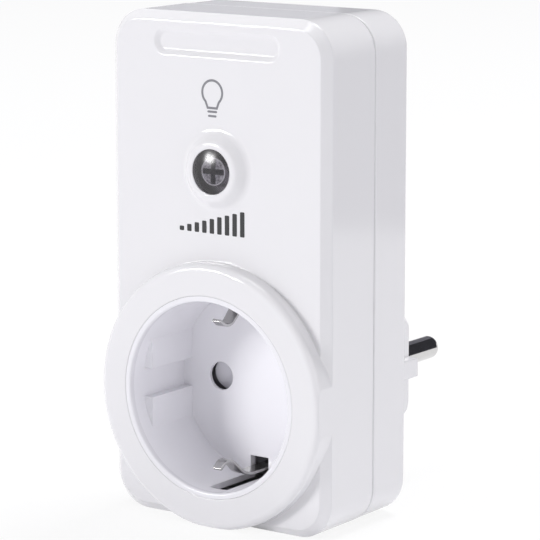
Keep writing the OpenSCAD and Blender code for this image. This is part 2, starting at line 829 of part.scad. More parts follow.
// Round plug pin with a rounded tip, a flange inside the plug and a rivet end
module plug_pin(side) {
    turned(side * pin_x) {
        translate([0, -plug_end_t]) square([pin_seat_r, plug_end_t + pin_seat_out]);
        square([pin_r, pin_len - pin_tip_r]);
        square([pin_r - pin_tip_r, pin_len]);
        translate([pin_r - pin_tip_r, pin_len - pin_tip_r]) difference() {
            circle(r = pin_tip_r);
            translate([-2 * pin_tip_r, -pin_tip_r]) square([2 * pin_tip_r, 2 * pin_tip_r]);
        }
        translate([0, -plug_end_t - pin_flange_t]) square([pin_flange_r, pin_flange_t]);
        translate([0, -plug_end_t - pin_flange_t - rivet_len]) square([rivet_r, rivet_len]);
    }
}
module line_pin() {
    color("silver") plug_pin(1);
}
module neutral_pin() {
    color("silver") plug_pin(-1);
}

// Strip from a pin's rivet along the plug's side, up along the rear wall and forward to the board
module bus_strip(side) {
    half = bus_w / 2;
    side_x = bus_x + bus_t;
    far_x = bus_x + bus_w;
    run_back_y = bus_run_y + bus_t;
    scale([side, 1, 1]) {
        difference() {
            block([pin_x - rivet_r - half / 2, bus_y, -half], [side_x, bus_y + bus_t, half]);
            rod(rivet_r + run_gap, bus_y - over, bus_y + bus_t + over, pin_x);
        }
        block([bus_x, bus_run_y, -half], [side_x, bus_y + bus_t, half]);
        block([bus_x, bus_run_y, -half], [far_x, run_back_y, tail_z + bus_t]);
        block([bus_x, board_back_y, tail_z], [far_x, run_back_y, tail_z + bus_t]);
    }
}
module line_strip() {
    color("goldenrod") bus_strip(1);
}
module neutral_strip() {
    color("goldenrod") bus_strip(-1);
}

// Two earth strips on the plug's rim, ending at the earth bow's cross bar
module plug_earth_strips() {
    half = earth_strip_w / 2;
    color("silver") for (sz = [-1, 1]) scale([1, 1, sz]) {
        block([-half, rear_in_y, earth_strip_z], [half, -earth_strip_end, earth_strip_z + earth_strip_t]);
        block([-arm_w / 2, carrier_back_y + strip_t, earth_strip_z],
            [arm_w / 2, rear_in_y, earth_strip_z + earth_strip_t]);
    }
}

// Smoke-tinted cap: dome, retaining flange, hollow core and a cross-shaped stem
module button_cap() {
    dome_r = (cap_r * cap_r + dome_h * dome_h) / (2 * dome_h);
    apex_y = boss_y - dome_h;
    stem_y = plunger_y - run_gap;
    cavity_y = boss_y + cap_skin;
    color("dimgray") union() {
        difference() {
            turned(0, button_z) {
                intersection() {
                    translate([0, apex_y + dome_r]) circle(r = dome_r);
                    translate([0, apex_y - over]) square([cap_r, cap_back_y - apex_y + over]);
                }
                translate([0, cap_flange_y]) square([cap_flange_r, cap_flange_t]);
            }
            rod(cavity_r, cavity_y, cap_back_y + over, 0, button_z);
        }
        intersection() {
            rod(cavity_r + run_gap, cavity_y - run_gap, stem_y, 0, button_z);
            union() {
                block([-cross_w / 2, cavity_y - over, button_z - cap_r],
                    [cross_w / 2, stem_y, button_z + cap_r]);
                block([-cap_r, cavity_y - over, button_z - cross_w / 2],
                    [cap_r, stem_y, button_z + cross_w / 2]);
            }
        }
    }
}

// Pale disc that guides the cap's stem through a cross-shaped hole
module button_guide() {
    hole = cavity_r + slip;
    color("lightgray") difference() {
        rod(guide_r - run_gap, guide_y, guide_y + guide_t, 0, button_z);
        for (size = [[cross_w / 2 + slip, hole + slip], [hole + slip, cross_w / 2 + slip]])
            block([-size[0], guide_y - over, button_z - size[1]],
                [size[0], guide_y + guide_t + over, button_z + size[1]]);
    }
}

// Push switch under the button
module switch_body() {
    half = switch_w / 2;
    color("dimgray") difference() {
        block([-half, switch_y, button_z - half], [half, board_y, button_z + half]);
        rod(plunger_r + slip, switch_y - over, switch_y + plunger_in + button_travel + face_gap, 0, button_z);
    }
}
module switch_plunger() {
    color("black") rod(plunger_r, plunger_y, switch_y + plunger_in, 0, button_z);
}

// Small light beside the switch
module indicator_light() {
    half_x = light_size[0] / 2;
    color("lightyellow")
        block([-half_x, board_y - light_size[1], light_z], [half_x, board_y, light_z + light_size[2]]);
}

// Circuit board with its screw holes
module circuit_board() {
    color("darkgreen") difference() {
        block([-board_half, board_y, board_z], [board_half, board_back_y, board_top_z]);
        for (sx = [-1, 1], z = board_screw_zs)
            rod(board_screw_r + slip, board_y - over, board_back_y + over, sx * board_screw_x, z);
    }
}
module board_screws() {
    color("silver") for (sx = [-1, 1], z = board_screw_zs) difference() {
        union() {
            rod(board_head_r, board_back_y, board_back_y + board_head_h, sx * board_screw_x, z);
            rod(board_screw_r, board_y - board_screw_len, board_back_y, sx * board_screw_x, z);
        }
        cross_recess(sx * board_screw_x, board_back_y + board_head_h, z, board_cross);
    }
}

// Power switch in a flat package: moulded body, holed metal tab and three legs bent to the board
module triac() {
    half = triac_w / 2;
    top = triac_z + triac_body_h;
    leg_half = triac_leg_t / 2;
    color("black") union() {
        block([triac_x - half, board_back_y, triac_z], [triac_x + half, sink_y, top]);
        difference() {
            block([triac_x - half, sink_y - tab_t, top], [triac_x + half, sink_y, top + tab_h]);
            rod(tab_hole_r, sink_y - tab_t - over, sink_y + over, triac_x, tab_hole_z);
        }
        for (i = [-1, 0, 1])
            block([triac_x + i * triac_leg_pitch - leg_half, board_back_y, triac_z - triac_leg_len],
                [triac_x + i * triac_leg_pitch + leg_half, board_back_y + triac_leg_t, triac_z]);
    }
}

// Aluminium plate with two bent fins
module heat_sink() {
    plate_y = sink_y + sink_t;
    top = sink_low_z + sink_h;
    color("lightgray") difference() {
        union() {
            block([triac_x - sink_half, sink_y, sink_low_z], [triac_x + sink_half, plate_y, top]);
            for (edge = [triac_x - sink_half, triac_x + sink_half - sink_t])
                block([edge, sink_y, sink_low_z], [edge + sink_t, plate_y + sink_fin_d, top]);
        }
        rod(tab_hole_r, sink_y - over, plate_y + over, triac_x, tab_hole_z);
    }
}
module triac_screw() {
    head_y = sink_y + sink_t;
    color("silver") difference() {
        union() {
            rod(triac_screw_r, sink_y - tab_t - nut_h + slip, head_y, triac_x, tab_hole_z);
            rod(triac_head_r, head_y, head_y + triac_head_h, triac_x, tab_hole_z);
        }
        cross_recess(triac_x, head_y + triac_head_h, tab_hole_z, screw_cross);
    }
}
module triac_nut() {
    nut_y = sink_y - tab_t - nut_h;
    color("silver") difference() {
        translate([triac_x, nut_y, tab_hole_z]) rotate([-90, 0, 0]) cylinder(r = nut_r, h = nut_h, $fn = 6);
        rod(triac_screw_r + run_gap, nut_y - over, sink_y, triac_x, tab_hole_z);
    }
}

// Ring core lying on the board, and its winding in two halves
module choke_core() {
    base_y = board_back_y + wind_t + run_gap;
    color("darkslategray") turned(choke_x, choke_z)
        translate([choke_in_r, base_y]) square([choke_out_r - choke_in_r, choke_h]);
}
module choke_winding() {
    base_y = board_back_y;
    gap_half = wind_gap / 2;
    color("peru") difference() {
        turned(choke_x, choke_z) difference() {
            translate([choke_in_r - wind_t, base_y])
                square([choke_out_r - choke_in_r + 2 * wind_t, choke_h + 2 * (wind_t + run_gap)]);
            translate([choke_in_r - run_gap, base_y + wind_t])
                square([choke_out_r - choke_in_r + 2 * run_gap, choke_h + 2 * run_gap]);
        }
        block([choke_x - gap_half, base_y - over, choke_z - choke_out_r - 2 * wind_t],
            [choke_x + gap_half, base_y + choke_h + 3 * over, choke_z + choke_out_r + 2 * wind_t]);
    }
}

// Box-shaped film capacitor
module film_capacitor() {
    color("gold") block([film_low_x, board_back_y, film_z], [film_high_x, rear_in_y - film_room, film_z + film_h]);
}

// Round electrolytic capacitor standing on the board
module electrolytic_capacitor() {
    color("midnightblue") turned(can_x, can_z)
        half_section(can_r, board_back_y, board_back_y + can_h, 0, can_edge_r);
}

// Disc-shaped surge protector lying on the board's front
module varistor() {
    color("royalblue") turned(varistor_x, varistor_z)
        half_section(varistor_r, board_y - varistor_t, board_y, varistor_edge_r, varistor_edge_r);
}

// Glass fuse with two metal end caps, along X
module fuse() {
    color("lightblue") translate([0, fuse_y, fuse_z]) rotate([0, 90, 0]) union() {
        cylinder(r = fuse_r - fuse_cap_t, h = fuse_len, center = true);
        for (s = [-1, 1]) translate([0, 0, s * (fuse_len - fuse_cap_len) / 2])
            cylinder(r = fuse_r, h = fuse_cap_len, center = true);
    }
}

// Two spring clips that hold the fuse to the board
module fuse_clips() {
    inner = fuse_r + run_gap;
    outer = inner + fuse_clip_t;
    foot = fuse_clip_foot / 2;
    color("silver") for (s = [-1, 1]) {
        x = s * (fuse_len - fuse_cap_len) / 2;
        low_x = x - fuse_clip_half;
        high_x = x + fuse_clip_half;
        difference() {
            union() {
                translate([low_x, fuse_y, fuse_z]) rotate([0, 90, 0])
                    cylinder(r = outer, h = 2 * fuse_clip_half);
                block([low_x, fuse_y, fuse_z - foot], [high_x, board_y, fuse_z + foot]);
            }
            translate([low_x - over, fuse_y, fuse_z]) rotate([0, 90, 0])
                cylinder(r = inner, h = 2 * (fuse_clip_half + over));
            block([low_x - over, fuse_y - outer - over, fuse_z - outer - over],
                [high_x + over, fuse_y - fuse_clip_mouth, fuse_z + outer + over]);
        }
    }
}

// Control chip with two rows of legs
module control_chip() {
    low = [chip_x - chip_size[0] / 2, board_y - chip_size[1] - 2 * chip_lift, chip_z];
    color("black") union() {
        block(low, low + chip_size);
        for (sx = [-1, 1], i = [0 : 3]) {
            z = chip_z + chip_size[2] / 2 + (i - 1.5) * chip_leg_pitch;
            edge = chip_x + sx * (chip_size[0] / 2 + chip_leg_out);
            block([edge - chip_leg[0] / 2, board_y - chip_leg[1], z - chip_leg[2] / 2],
                [edge + chip_leg[0] / 2, board_y, z + chip_leg[2] / 2]);
        }
    }
}

// Row of resistors lying on the board's front, each on two bent leads
module resistors() {
    lead_r = 0.3;
    lift = 0.3;
    lead_out = 1.2;
    lead_x = resistor_len / 2 + lead_out;
    axis_y = board_y - resistor_r - lift;
    color("tan") for (z = resistor_zs) translate([resistor_x, axis_y, z]) {
        rotate([0, 90, 0]) cylinder(r = resistor_r, h = resistor_len, center = true, $fn = 48);
        rotate([0, 90, 0]) cylinder(r = lead_r, h = 2 * lead_x, center = true, $fn = 24);
        for (s = [-1, 1])
            block([s * lead_x - lead_r, -lead_r, -lead_r], [s * lead_x + lead_r, resistor_r + lift, lead_r]);
    }
}

front_shell();
rear_shell();
case_screws();
socket_cup();
shutter();
shutter_spring();
contact_carrier();
carrier_screws();
line_contact();
neutral_contact();
earth_bow();
line_pin();
neutral_pin();
line_strip();
neutral_strip();
plug_earth_strips();
button_cap();
button_guide();
switch_body();
switch_plunger();
indicator_light();
circuit_board();
board_screws();
triac();
heat_sink();
triac_screw();
triac_nut();
choke_core();
choke_winding();
film_capacitor();
electrolytic_capacitor();
varistor();
fuse();
fuse_clips();
control_chip();
resistors();
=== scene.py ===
import bpy
import bmesh
import math
from mathutils import Matrix, Vector


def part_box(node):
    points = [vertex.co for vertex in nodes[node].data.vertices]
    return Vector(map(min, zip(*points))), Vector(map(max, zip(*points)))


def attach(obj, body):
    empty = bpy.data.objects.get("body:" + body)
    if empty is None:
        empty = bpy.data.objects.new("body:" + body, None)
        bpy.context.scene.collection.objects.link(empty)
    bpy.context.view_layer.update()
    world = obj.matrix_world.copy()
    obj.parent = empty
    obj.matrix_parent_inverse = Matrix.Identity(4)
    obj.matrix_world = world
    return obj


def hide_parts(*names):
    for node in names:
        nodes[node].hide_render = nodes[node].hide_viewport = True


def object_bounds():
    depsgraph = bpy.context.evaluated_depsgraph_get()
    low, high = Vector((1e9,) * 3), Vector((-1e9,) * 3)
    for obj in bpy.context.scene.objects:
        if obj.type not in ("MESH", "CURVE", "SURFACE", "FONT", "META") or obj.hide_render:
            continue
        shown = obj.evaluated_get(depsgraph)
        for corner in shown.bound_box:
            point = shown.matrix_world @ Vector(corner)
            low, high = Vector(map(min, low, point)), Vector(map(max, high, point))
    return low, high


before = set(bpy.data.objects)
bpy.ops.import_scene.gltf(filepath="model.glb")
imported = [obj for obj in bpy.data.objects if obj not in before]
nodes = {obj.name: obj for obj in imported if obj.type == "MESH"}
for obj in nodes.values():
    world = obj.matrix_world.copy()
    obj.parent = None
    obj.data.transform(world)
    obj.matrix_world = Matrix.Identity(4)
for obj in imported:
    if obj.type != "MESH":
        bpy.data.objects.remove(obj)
cadLow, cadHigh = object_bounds()
scene = bpy.context.scene
mm = 0.001
samePlace = 0.001  # mm, points closer than this count as one
plainWhite = (1, 1, 1, 1)
print("frame loaded:", len(nodes), "nodes")


# sRGB hex to linear RGBA
def linear(hexColour):
    channels = [int(hexColour[i:i + 2], 16) / 255 for i in (0, 2, 4)]
    return [c / 12.92 if c <= 0.04045 else ((c + 0.055) / 1.055) ** 2.4 for c in channels] + [1]


# adds one node: inputs takes values or the sockets to link from
def addNode(tree, kind, inputs=None, **settings):
    node = tree.nodes.new(kind)
    for key, value in settings.items():
        setattr(node, key, value)
    for key, value in (inputs or {}).items():
        if isinstance(value, bpy.types.NodeSocket):
            tree.links.new(value, node.inputs[key])
        else:
            node.inputs[key].default_value = value
    return node


def newMaterial(name):
    material = bpy.data.materials.new(name)
    material.use_nodes = True
    material.node_tree.nodes.clear()
    return material, material.node_tree


def meshPiece(name, shape, material):
    mesh = bpy.data.meshes.new(name)
    shape.to_mesh(mesh)
    shape.free()
    mesh.materials.append(material)
    piece = bpy.data.objects.new(name, mesh)
    scene.collection.objects.link(piece)
    return piece


# the same for a shape drawn in mm, whose faces are first turned outwards
def millimetrePiece(name, shape, material, smooth=True):
    bmesh.ops.recalc_face_normals(shape, faces=shape.faces)
    bmesh.ops.scale(shape, verts=shape.verts, vec=(mm, mm, mm))
    for face in shape.faces:
        face.smooth = smooth
    return meshPiece(name, shape, material)


# the vertices that an extrusion added
def grownVerts(grown):
    return [part for part in grown["geom"] if isinstance(part, bmesh.types.BMVert)]


def wholeShape(shape):
    return shape.verts[:] + shape.edges[:] + shape.faces[:]


# turns an outline drawn beside the Y axis once round it
def turnAboutY(shape, steps):
    bmesh.ops.spin(shape, geom=wholeShape(shape), cent=(0, 0, 0), axis=(0, 1, 0), angle=2 * math.pi,
                   steps=steps, use_merge=True)


# camera and stage

cameraSetup = {
    "place": (323.922, -481.333, 126.116),  # mm, fitted to the photograph
    "forward": (-0.57028457, 0.80081086, -0.18296852),
    "focalPixels": 2851.486,
    "framePixels": 540,
    "sensor": 36,  # mm
    "clip": (0.01, 50),  # metres
}


def addCamera(setup):
    data = bpy.data.cameras.new("studioCamera")
    data.sensor_width = setup["sensor"]
    data.lens = setup["focalPixels"] / setup["framePixels"] * setup["sensor"]
    data.clip_start, data.clip_end = setup["clip"]
    camera = bpy.data.objects.new("studioCamera", data)
    camera.rotation_mode = "QUATERNION"
    camera.location = Vector(setup["place"]) * mm
    camera.rotation_quaternion = Vector(setup["forward"]).to_track_quat("-Z", "Y")
    scene.collection.objects.link(camera)
    scene.camera = camera


addCamera(cameraSetup)
scene.view_settings.view_transform = "Standard"

worldSetup = {"ambient": 0.34, "tint": "f5f5fc"}
floorSetup = {"size": 6.0, "colour": "fafafc", "shadowShare": 0.12}  # size in metres


# 1 for rays that show the plain white surroundings: seen directly, mirrored or through clear pieces
def seenRays(tree):
    path = addNode(tree, "ShaderNodeLightPath")
    mirrored = addNode(tree, "ShaderNodeMath", {0: path.outputs["Is Camera Ray"],
                                                1: path.outputs["Is Glossy Ray"]}, operation="ADD")
    clear = addNode(tree, "ShaderNodeMath", {0: mirrored.outputs[0], 1: path.outputs["Is Transmission Ray"]},
                    operation="ADD", use_clamp=True)
    return clear.outputs[0]


def addWorld(setup):
    world = bpy.data.worlds.new("studioWorld")
    world.use_nodes = True
    tree = world.node_tree
    tree.nodes.clear()
    soft = addNode(tree, "ShaderNodeBackground", {"Color": linear(setup["tint"]),
                                                  "Strength": setup["ambient"]})
    bright = addNode(tree, "ShaderNodeBackground", {"Color": plainWhite, "Strength": 1})
    mixed = addNode(tree, "ShaderNodeMixShader", {"Fac": seenRays(tree), 1: soft.outputs[0],
                                                  2: bright.outputs[0]})
    addNode(tree, "ShaderNodeOutputWorld", {"Surface": mixed.outputs[0]})
    scene.world = world


def addFloor(setup):
    material, tree = newMaterial("matt paper floor")
    paper = addNode(tree, "ShaderNodeBsdfDiffuse", {"Color": linear(setup["colour"])})
    glow = addNode(tree, "ShaderNodeEmission", {"Color": plainWhite, "Strength": 1})
    # where it is seen, the paper is mostly plain white, with a light shadow left under the object
    seen = addNode(tree, "ShaderNodeMixShader", {"Fac": setup["shadowShare"], 1: glow.outputs[0],
                                                 2: paper.outputs[0]})
    mixed = addNode(tree, "ShaderNodeMixShader", {"Fac": seenRays(tree), 1: paper.outputs[0],
                                                  2: seen.outputs[0]})
    addNode(tree, "ShaderNodeOutputMaterial", {"Surface": mixed.outputs[0]})
    shape = bmesh.new()
    bmesh.ops.create_grid(shape, x_segments=1, y_segments=1, size=setup["size"] / 2)
    bmesh.ops.translate(shape, verts=shape.verts, vec=(0, 0, cadLow.z))
    meshPiece("paperFloor", shape, material)


addWorld(worldSetup)
addFloor(floorSetup)

# felt cards behind the object: only mirrored rays see them, so metal and gloss get their dark side
# from and to are X and Y, foot and top are heights above the floor, all in mm
cardSetup = {
    "darkCard": {"from": (420, 130), "to": (150, 300), "foot": 0, "top": 420, "colour": "38383c"},
    "raisedCard": {"from": (150, 300), "to": (-40, 420), "foot": 90, "top": 420, "colour": "38383c"},
    "dimCard": {"from": (-40, 420), "to": (-250, 367), "foot": 90, "top": 420, "colour": "707076"},
    "greyCard": {"from": (-250, 367), "to": (-520, 300), "foot": 90, "top": 420, "colour": "a6a6ab"},
}


def addCard(name, setup):
    material, tree = newMaterial(name + " felt")
    felt = addNode(tree, "ShaderNodeBsdfDiffuse", {"Color": linear(setup["colour"])})
    addNode(tree, "ShaderNodeOutputMaterial", {"Surface": felt.outputs[0]})
    shape = bmesh.new()
    floor = Vector((0, 0, cadLow.z))
    ends = (setup["from"], setup["to"])
    foot = [shape.verts.new(Vector((x, y, setup["foot"])) * mm + floor) for x, y in ends]
    edge = shape.edges.new(foot)
    grown = bmesh.ops.extrude_edge_only(shape, edges=[edge])
    bmesh.ops.translate(shape, verts=grownVerts(grown), vec=(0, 0, (setup["top"] - setup["foot"]) * mm))
    card = meshPiece(name, shape, material)
    card.visible_camera = False
    card.visible_diffuse = False
    card.visible_transmission = False
    card.visible_shadow = False


for cardName, setup in cardSetup.items():
    addCard(cardName, setup)

# soft boxes: azimuth from the front, positive to the right, and height above the horizon, in degrees
# distance and size are in metres
lightSetup = {
    "keyBox": {"azimuth": -36, "height": 13, "distance": 2.4, "size": (0.75, 0.48), "watts": 26.8},
    "rightBox": {"azimuth": 80, "height": 10, "distance": 1.4, "size": (1.0, 1.0), "watts": 4.7},
    "topBox": {"azimuth": 170, "height": 65, "distance": 1.4, "size": (0.5, 0.5), "watts": 12.6},
    "overheadBox": {"azimuth": -10, "height": 80, "distance": 1.4, "size": (0.5, 0.5), "watts": 2.6},
}
lightTarget = Vector((0, -0.03, 0.02))  # metres


def addSoftBox(name, setup):
    data = bpy.data.lights.new(name, "AREA")
    data.shape = "RECTANGLE"
    data.size, data.size_y = setup["size"]
    data.energy = setup["watts"]
    turn = math.radians(setup["azimuth"])
    rise = math.radians(setup["height"])
    away = Vector((math.sin(turn) * math.cos(rise), -math.cos(turn) * math.cos(rise), math.sin(rise)))
    lamp = bpy.data.objects.new(name, data)
    lamp.location = lightTarget + away * setup["distance"]
    lamp.rotation_mode = "QUATERNION"
    lamp.rotation_quaternion = (-away).to_track_quat("-Z", "Y")
    scene.collection.objects.link(lamp)


for lampName, setup in lightSetup.items():
    addSoftBox(lampName, setup)
print("camera, floor, cards and", len(lightSetup), "lamps placed")


# materials: every size in their settings is in mm

finish = {}
mixA, mixB, mixOut = 6, 7, 2  # where a Mix node has its colours
softDetail, fineDetail = 2, 3  # levels of ever finer noise

# moulded, dipped and pressed pieces: a gloss over an even colour, with the faint ripple and drift of shade
# that the making leaves
plasticSetup = {
    "high-gloss white ABS": {  # polished mould: sharp, bright highlights
        "light": "eae9eb", "dark": "e8e7e9", "rough": 0.09, "roughDrift": 0.03, "ior": 1.53,
        "driftSize": 30, "rippleSize": 2.5, "ripple": 0.01, "edge": 0.45},
    "shade-lifted white PBT": {  # a broad soft sheen, on a white painted brighter than the lip's as painted light in the shaded well
        "light": "f8f7fb", "dark": "f7f6fa", "rough": 0.25, "roughDrift": 0.04, "ior": 1.57,
        "driftSize": 24, "rippleSize": 2.0, "ripple": 0.01, "edge": 0.15},
    "polished white PBT": {  # a slightly greyer white with crisp edges
        "light": "eeedf1", "dark": "edecf0", "rough": 0.2, "roughDrift": 0.03, "ior": 1.57,
        "driftSize": 24, "rippleSize": 2.0, "ripple": 0.01, "edge": 0.05},
    "light grey acetal": {  # a waxy, slippery sheen
        "light": "f3f2f7", "dark": "ecebf1", "rough": 0.35, "roughDrift": 0.06, "ior": 1.48,
        "driftSize": 8, "rippleSize": 0.8, "ripple": 0.03, "edge": 0.12},
    "glass-filled nylon": {  # fibres near the skin leave it dull and a little grainy
        "light": "dddde0", "dark": "d1d1d6", "rough": 0.5, "roughDrift": 0.1, "ior": 1.53,
        "driftSize": 2, "rippleSize": 0.4, "ripple": 0.08, "edge": 0.12},
    "natural acetal": {  # milky and waxy
        "light": "e4e4e8", "dark": "dcdce0", "rough": 0.4, "roughDrift": 0.06, "ior": 1.48,
        "driftSize": 6, "rippleSize": 0.8, "ripple": 0.03, "edge": 0.1},
    "black PBT": {  # near black with a grey sheen
        "light": "26262a", "dark": "1c1c20", "rough": 0.42, "roughDrift": 0.1, "ior": 1.57,
        "driftSize": 3, "rippleSize": 0.5, "ripple": 0.06, "edge": 0.1},
    "black moulding epoxy": {  # matt and finely pitted
        "light": "2b2b2d", "dark": "212123", "rough": 0.6, "roughDrift": 0.1, "ior": 1.55,
        "driftSize": 1.5, "rippleSize": 0.25, "ripple": 0.12, "edge": 0.08},
    "diffused lamp epoxy": {  # cast smooth: a milky yellow-white gloss
        "light": "f3efc9", "dark": "e9e3b2", "rough": 0.2, "roughDrift": 0.05, "ior": 1.55,
        "driftSize": 1, "rippleSize": 0.4, "ripple": 0.02, "edge": 0.08},
    "yellow capacitor PBT": {  # an even yellow with a mild gloss
        "light": "e2b23c", "dark": "d6a42e", "rough": 0.35, "roughDrift": 0.08, "ior": 1.57,
        "driftSize": 5, "rippleSize": 0.8, "ripple": 0.04, "edge": 0.15},
    "blue dipped epoxy": {  # a thick glossy skin with slow waves
        "light": "2f56a8", "dark": "274a96", "rough": 0.28, "roughDrift": 0.08, "ior": 1.55,
        "driftSize": 4, "rippleSize": 1.6, "ripple": 0.15, "edge": 0.1},
    "sintered ferrite": {  # pressed powder: dull, grainy grey
        "light": "3a3b3e", "dark": "2c2d30", "rough": 0.7, "roughDrift": 0.1, "ior": 1.6,
        "driftSize": 1.2, "rippleSize": 0.2, "ripple": 0.2, "edge": 0.1},
}
rippleDepth = 0.1
edgeSamples = 8


def mouldedPlastic(name, setup):
    material, tree = newMaterial(name)
    place = addNode(tree, "ShaderNodeTexCoord").outputs["Object"]
    drift = addNode(tree, "ShaderNodeTexNoise", {"Vector": place, "Scale": 1 / (setup["driftSize"] * mm),
                                                 "Detail": softDetail})
    shade = addNode(tree, "ShaderNodeMix", {"Factor": drift.outputs["Fac"], mixA: linear(setup["light"]),
                                            mixB: linear(setup["dark"])}, data_type="RGBA")
    ripple = addNode(tree, "ShaderNodeTexNoise", {"Vector": place, "Scale": 1 / (setup["rippleSize"] * mm),
                                                  "Detail": softDetail})
    gloss = addNode(tree, "ShaderNodeMapRange", {"Value": ripple.outputs["Fac"],
                                                 "To Min": setup["rough"] - setup["roughDrift"],
                                                 "To Max": setup["rough"] + setup["roughDrift"]})
    edge = addNode(tree, "ShaderNodeBevel", {"Radius": setup["edge"] * mm}, samples=edgeSamples)
    bump = addNode(tree, "ShaderNodeBump", {"Height": ripple.outputs["Fac"], "Strength": setup["ripple"],
                                            "Distance": rippleDepth * mm, "Normal": edge.outputs[0]})
    shader = addNode(tree, "ShaderNodeBsdfPrincipled", {
        "Base Color": shade.outputs[mixOut], "IOR": setup["ior"], "Roughness": gloss.outputs["Result"],
        "Normal": bump.outputs[0]})
    addNode(tree, "ShaderNodeOutputMaterial", {"Surface": shader.outputs[0]})
    return material


finish.update({name: mouldedPlastic(name, setup) for name, setup in plasticSetup.items()})

# metals: a slight haze, and fine lines that follow each other along the axis marked 1
metalSetup = {
    "turned nickel-plated brass": {  # a clear mirror with faint rings round the pin
        "light": "d9d8d8", "dark": "cfcece", "rough": 0.08, "roughDrift": 0.03,
        "lines": (0, 1, 0), "lineSize": 0.25, "scratch": 0.02},
    "nickel-plated spring strip": {  # a soft mirror, streaked along the strip
        "light": "c2c1c0", "dark": "b0afae", "rough": 0.19, "roughDrift": 0.05,
        "lines": (1, 0, 0), "lineSize": 0.2, "scratch": 0.04},
    "rolled brass strip": {  # warm yellow with the roll's streaks
        "light": "d8b46a", "dark": "c79f55", "rough": 0.28, "roughDrift": 0.08,
        "lines": (1, 0, 0), "lineSize": 0.25, "scratch": 0.05},
    "zinc-plated steel": {  # cool grey and a little cloudy
        "light": "c9ccd0", "dark": "b3b7bd", "rough": 0.3, "roughDrift": 0.1,
        "lines": (0, 1, 0), "lineSize": 0.3, "scratch": 0.05},
    "drawn spring steel": {  # darker grey with a soft shine
        "light": "b5b6b8", "dark": "9fa0a3", "rough": 0.25, "roughDrift": 0.08,
        "lines": (0, 1, 0), "lineSize": 0.2, "scratch": 0.05},
    "mill-finish aluminium": {  # pale and streaky, with little shine
        "light": "d5d6d8", "dark": "c3c5c8", "rough": 0.38, "roughDrift": 0.1,
        "lines": (1, 0, 0), "lineSize": 0.3, "scratch": 0.08},
}
hazeSize = 3
lineStretch = 40  # how many times longer than wide a line is
lineDepth = 0.05


def platedMetal(name, setup):
    material, tree = newMaterial(name)
    place = addNode(tree, "ShaderNodeTexCoord").outputs["Object"]
    haze = addNode(tree, "ShaderNodeTexNoise", {"Vector": place, "Scale": 1 / (hazeSize * mm),
                                                "Detail": fineDetail})
    shade = addNode(tree, "ShaderNodeMix", {"Factor": haze.outputs["Fac"], mixA: linear(setup["light"]),
                                            mixB: linear(setup["dark"])}, data_type="RGBA")
    # drawn coarser than real tool marks so that they show at all
    across = 1 / (setup["lineSize"] * mm)
    squeeze = [across if axis else across / lineStretch for axis in setup["lines"]]
    along = addNode(tree, "ShaderNodeMapping", {"Vector": place, "Scale": squeeze})
    marks = addNode(tree, "ShaderNodeTexNoise", {"Vector": along.outputs[0], "Scale": 1,
                                                 "Detail": softDetail})
    gloss = addNode(tree, "ShaderNodeMapRange", {"Value": marks.outputs["Fac"],
                                                 "To Min": setup["rough"] - setup["roughDrift"],
                                                 "To Max": setup["rough"] + setup["roughDrift"]})
    bump = addNode(tree, "ShaderNodeBump", {"Height": marks.outputs["Fac"], "Strength": setup["scratch"],
                                            "Distance": lineDepth * mm})
    shader = addNode(tree, "ShaderNodeBsdfPrincipled", {
        "Base Color": shade.outputs[mixOut], "Metallic": 1, "Roughness": gloss.outputs["Result"],
        "Normal": bump.outputs[0]})
    addNode(tree, "ShaderNodeOutputMaterial", {"Surface": shader.outputs[0]})
    return material


finish.update({name: platedMetal(name, setup) for name, setup in metalSetup.items()})

# smoke-tinted polycarbonate: clear moulded gloss that darkens with thickness, over an uneven pale coat
smokeSetup = {
    "tint": "928a98",
    "density": 280,
    "ior": 1.585,
    "rough": 0.2,
    "roughDrift": 0.02,
    "rippleSize": 1.5,
    "middle": (0, -44.4, 44.3),  # centre of the coated face
    "reach": 0.15,  # how far off that face's plane still counts as on it
    "coat": "dddce2",
    "thinCoat": "77757d",
    "speckSize": 0.35,
    "speckRange": (0.35, 0.65),  # noise from thin to full cover
    # painted shade: the dark cross where the solid stem joins the core
    "cross": "3c3a41",
    "crossHalf": 0.5,
    # painted highlight: a pale ring round the edge of the coated core
    "rim": "f4f3f8",
    "highlightRimFrom": 2.3,
}


